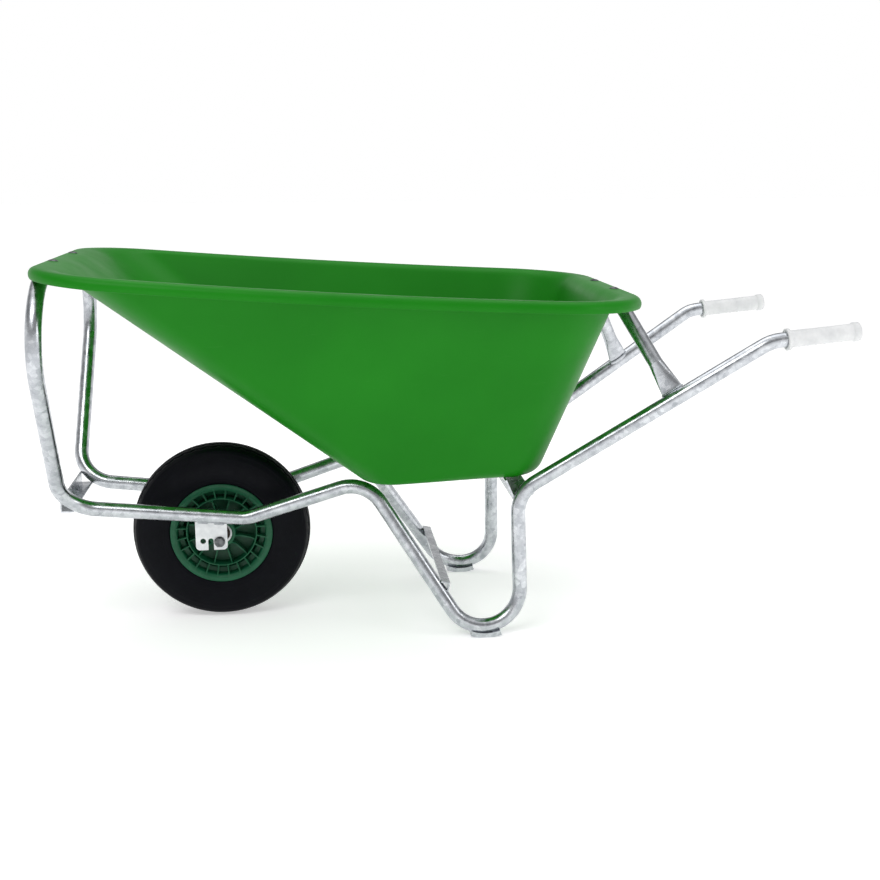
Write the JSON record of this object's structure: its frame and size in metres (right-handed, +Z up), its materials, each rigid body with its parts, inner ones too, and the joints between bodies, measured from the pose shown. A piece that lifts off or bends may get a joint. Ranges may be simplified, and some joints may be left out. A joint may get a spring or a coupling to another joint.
{
  "type": "wheelbarrow",
  "caption": "Single-wheel barrow with a large moulded tray on a bent tube frame, pneumatic wheel, two stand feet and two handle grips.",
  "frame": {"origin": "middle of the overall length, on the barrow's mid plane, on the ground", "axes": "+X towards the handles, -X towards the wheel, -Y the user's left when pushing, +Z up"},
  "size_m": [1.7083, 0.8399, 0.824],
  "materials": {
    "tray_plastic": "moulded polyethylene, satin",
    "galvanised_tube": "hot-dip galvanised, spangled",
    "zinc_plate": "bright zinc",
    "grip_plastic": "white, slightly translucent",
    "bolt_heads": "dark, dull",
    "steel": "turned",
    "rim_plastic": "dark green moulding",
    "tyre": "black rubber",
    "tube_rubber": "dull black",
    "brass": "nickel-plated brass",
    "valve_cap_plastic": "black"
  },
  "bodies": {
    "frame": {"tray": "tray_plastic", "handle_tube_left": "galvanised_tube", "handle_tube_right": "galvanised_tube", "leg_tube_left": "galvanised_tube", "leg_tube_right": "galvanised_tube", "lower_tube_left": "galvanised_tube", "lower_tube_right": "galvanised_tube", "front_hoop": "galvanised_tube", "rear_hoop": "galvanised_tube", "front_cross_angle": "galvanised_tube", "leg_cross_angle": "galvanised_tube", "tray_cross_angle": "galvanised_tube", "axle_bracket_left": "zinc_plate", "axle_bracket_right": "zinc_plate", "foot_plate_left": "galvanised_tube", "foot_plate_right": "galvanised_tube", "grip_left": "grip_plastic", "grip_right": "grip_plastic", "front_tray_bolts": "bolt_heads", "rear_tray_bolts": "bolt_heads", "tray_washers": "zinc_plate", "tray_nuts": "zinc_plate", "axle": "steel", "axle_bolts": "zinc_plate", "axle_washers": "zinc_plate", "axle_spacers": "steel", "bearing_sleeve": "steel", "bearing_inner_rings": "steel"},
    "wheel": {"rim": "rim_plastic", "rim_ribs": "rim_plastic", "tyre": "tyre", "inner_tube": "tube_rubber", "valve_stem": "brass", "valve_cap": "valve_cap_plastic", "bearing_outer_rings": "steel", "bearing_balls": "steel", "bearing_seals": "tube_rubber"}
  },
  "joints": [
    {"name": "wheel_spin", "type": "hinge", "parent": "frame", "child": "wheel", "pos_m": [-0.5075, 0, 0.2], "axis": [0, 1, 0], "continuous": true}
  ]
}
